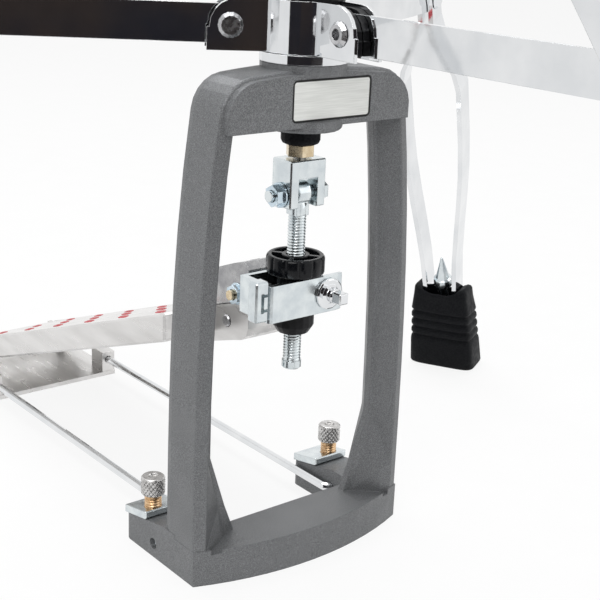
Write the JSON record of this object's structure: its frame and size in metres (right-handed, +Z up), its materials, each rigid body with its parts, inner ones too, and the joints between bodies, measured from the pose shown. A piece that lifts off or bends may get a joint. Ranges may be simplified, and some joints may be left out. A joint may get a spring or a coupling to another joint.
{
  "type": "hi-hat stand",
  "caption": "Hi-hat cymbal stand with a cast arch frame, a pull rod worked by a footboard, folding double-braced legs and a sliding upper tube.",
  "frame": {"origin": "on the floor under the axis of the tube and pull rod, on the underside of the frame casting", "axes": "+Z up along the tube, -Y towards the audience, the footboard runs back along +Y"},
  "size_m": [0.6024, 0.7051, 1.01],
  "materials": {
    "paint": "fine sparkle satin",
    "badge": "satin",
    "chrome": "polished",
    "zinc": "bright zinc plate",
    "steel": "satin",
    "brass": "satin",
    "aluminium": "cast and polished",
    "rubber": "matt",
    "plastic": "semi-gloss",
    "felt": "felt"
  },
  "bodies": {
    "stand": {"frame_casting": "paint", "badge_plate": "badge", "flange_ring": "chrome", "lower_tube": "chrome", "strut_hub": "plastic", "strut_collar": "chrome", "hub_rivet_a": "steel", "hub_rivet_b": "steel", "hub_rivet_c": "steel", "height_clamp": "plastic", "clamp_plate_left": "zinc", "clamp_plate_right": "zinc", "radius_rod_left": "steel", "radius_rod_right": "steel", "heel_plate": "aluminium", "return_spring": "steel"},
    "pull": {"pull_rod": "steel", "bumper": "rubber", "lock_nut": "brass", "clevis": "zinc", "clevis_bolt": "zinc", "clevis_nut": "zinc"},
    "link": {"threaded_rod": "zinc", "clamp_bush": "plastic", "clamp_front_plate": "zinc", "clamp_rear_plate": "zinc", "hinge_piece": "zinc", "toe_bolt": "zinc", "toe_nut": "zinc"},
    "adjuster": {"finger_nut": "plastic"},
    "key": {"key_bolt": "chrome"},
    "pedal": {"footboard": "aluminium", "toe_block": "aluminium", "toe_pin": "steel"},
    "spur_left": {"spur_screw_left": "brass"},
    "spur_right": {"spur_screw_right": "brass"},
    "upper": {"upper_tube": "chrome", "cymbal_seat": "plastic", "seat_felt": "felt"},
    "height_wing": {"height_wing_bolt": "zinc"},
    "collar": {"leg_collar": "plastic"},
    "collar_wing": {"leg_wing_bolt": "zinc"},
    "clutch": {"clutch_body": "chrome", "clutch_felt": "felt"},
    "clutch_wing": {"clutch_screw": "zinc"},
    "strut_arm_a": {"strut_a": "chrome"},
    "leg_a": {"leg_a_near": "chrome", "leg_a_far": "chrome", "boot_a": "rubber"},
    "spike_body_a": {"spike_a": "zinc"},
    "strut_arm_b": {"strut_b": "chrome"},
    "leg_b": {"leg_b_near": "chrome", "leg_b_far": "chrome", "boot_b": "rubber"},
    "spike_body_b": {"spike_b": "zinc"},
    "strut_arm_c": {"strut_c": "chrome"},
    "leg_c": {"leg_c_near": "chrome", "leg_c_far": "chrome", "boot_c": "rubber"},
    "spike_body_c": {"spike_c": "zinc"}
  },
  "joints": [
    {"name": "pull_rod_slide", "type": "slide", "parent": "stand", "child": "pull", "axis": [0, 0, 1], "range_m": [-0.03, 0], "stiffness_N_per_m": 600, "springref_m": 0.025, "deforming": ["return_spring"]},
    {"name": "rod_swing", "type": "hinge", "parent": "pull", "child": "link", "pos_m": [0, 0, 0.2], "axis": [1, 0, 0], "range_deg": [-13, 3]},
    {"name": "footboard_tilt", "type": "hinge", "parent": "stand", "child": "pedal", "pos_m": [0, 0.345, 0.0125], "axis": [1, 0, 0], "range_deg": [-2, 8]},
    {"name": "finger_nut_turn", "type": "hinge", "parent": "link", "child": "adjuster", "pos_m": [0, 0, 0.1573], "axis": [0, 0, 1], "continuous": true},
    {"name": "key_bolt_turn", "type": "hinge", "parent": "link", "child": "key", "pos_m": [0.0125, 0, 0.147], "axis": [0, 1, 0], "continuous": true},
    {"name": "spur_left_slide", "type": "slide", "parent": "stand", "child": "spur_left", "axis": [0, 0, 1], "range_m": [-0.005, 0.003]},
    {"name": "spur_right_slide", "type": "slide", "parent": "stand", "child": "spur_right", "axis": [0, 0, 1], "range_m": [-0.005, 0.003]},
    {"name": "height_slide", "type": "slide", "parent": "stand", "child": "upper", "axis": [0, 0, 1], "range_m": [-0.06, 0.08]},
    {"name": "height_wing_turn", "type": "hinge", "parent": "stand", "child": "height_wing", "pos_m": [0.00056, 0.02149, 0.563], "axis": [0.0262, 0.9997, 0], "continuous": true},
    {"name": "leg_collar_slide", "type": "slide", "parent": "stand", "child": "collar", "axis": [0, 0, 1], "range_m": [0, 0.03]},
    {"name": "leg_wing_turn", "type": "hinge", "parent": "collar", "child": "collar_wing", "pos_m": [0.00051, 0.01949, 0.5], "axis": [0.0262, 0.9997, 0], "continuous": true},
    {"name": "clutch_slide", "type": "slide", "parent": "pull", "child": "clutch", "axis": [0, 0, 1], "range_m": [-0.01, 0.04]},
    {"name": "clutch_screw_turn", "type": "hinge", "parent": "clutch", "child": "clutch_wing", "pos_m": [0.00025, 0.0095, 0.954], "axis": [0.0262, 0.9997, 0], "continuous": true},
    {"name": "strut_hinge_a", "type": "hinge", "parent": "stand", "child": "strut_arm_a", "pos_m": [-0.03197, 0.01959, 0.2845], "axis": [0.5225, 0.8526, 0], "range_deg": [-1, 12]},
    {"name": "leg_hinge_a", "type": "hinge", "parent": "collar", "child": "leg_a", "pos_m": [-0.02728, 0.01672, 0.5], "axis": [0.5225, 0.8526, 0], "range_deg": [-3, 1]},
    {"name": "spike_turn_a", "type": "hinge", "parent": "leg_a", "child": "spike_body_a", "pos_m": [-0.26973, 0.16529, 0.01439], "axis": [0.3234, -0.1982, 0.9253], "continuous": true},
    {"name": "strut_hinge_b", "type": "hinge", "parent": "stand", "child": "strut_arm_b", "pos_m": [-0.00098, -0.03749, 0.2845], "axis": [-0.9997, 0.0262, 0], "range_deg": [-1, 12]},
    {"name": "leg_hinge_b", "type": "hinge", "parent": "collar", "child": "leg_b", "pos_m": [-0.00084, -0.03199, 0.5], "axis": [-0.9997, 0.0262, 0], "range_deg": [-3, 1]},
    {"name": "spike_turn_b", "type": "hinge", "parent": "leg_b", "child": "spike_body_b", "pos_m": [-0.00828, -0.31624, 0.01439], "axis": [0.0099, 0.3792, 0.9253], "continuous": true},
    {"name": "strut_hinge_c", "type": "hinge", "parent": "stand", "child": "strut_arm_c", "pos_m": [0.03296, 0.01789, 0.2845], "axis": [0.4772, -0.8788, 0], "range_deg": [-1, 12]},
    {"name": "leg_hinge_c", "type": "hinge", "parent": "collar", "child": "leg_c", "pos_m": [0.02812, 0.01527, 0.5], "axis": [0.4772, -0.8788, 0], "range_deg": [-3, 1]},
    {"name": "spike_turn_c", "type": "hinge", "parent": "leg_c", "child": "spike_body_c", "pos_m": [0.27801, 0.15095, 0.01439], "axis": [-0.3334, -0.181, 0.9253], "continuous": true}
  ],
  "couplings": [
    {"joint": "rod_swing", "follows": "pull_rod_slide", "rad_per_m": 6.6073},
    {"joint": "footboard_tilt", "follows": "pull_rod_slide", "rad_per_m": -3.5139},
    {"joint": "strut_hinge_a", "follows": "leg_collar_slide", "rad_per_m": 5.6324},
    {"joint": "leg_hinge_a", "follows": "leg_collar_slide", "rad_per_m": -0.3465},
    {"joint": "strut_hinge_b", "follows": "leg_collar_slide", "rad_per_m": 5.6324},
    {"joint": "leg_hinge_b", "follows": "leg_collar_slide", "rad_per_m": -0.3465},
    {"joint": "strut_hinge_c", "follows": "leg_collar_slide", "rad_per_m": 5.6324},
    {"joint": "leg_hinge_c", "follows": "leg_collar_slide", "rad_per_m": -0.3465}
  ]
}
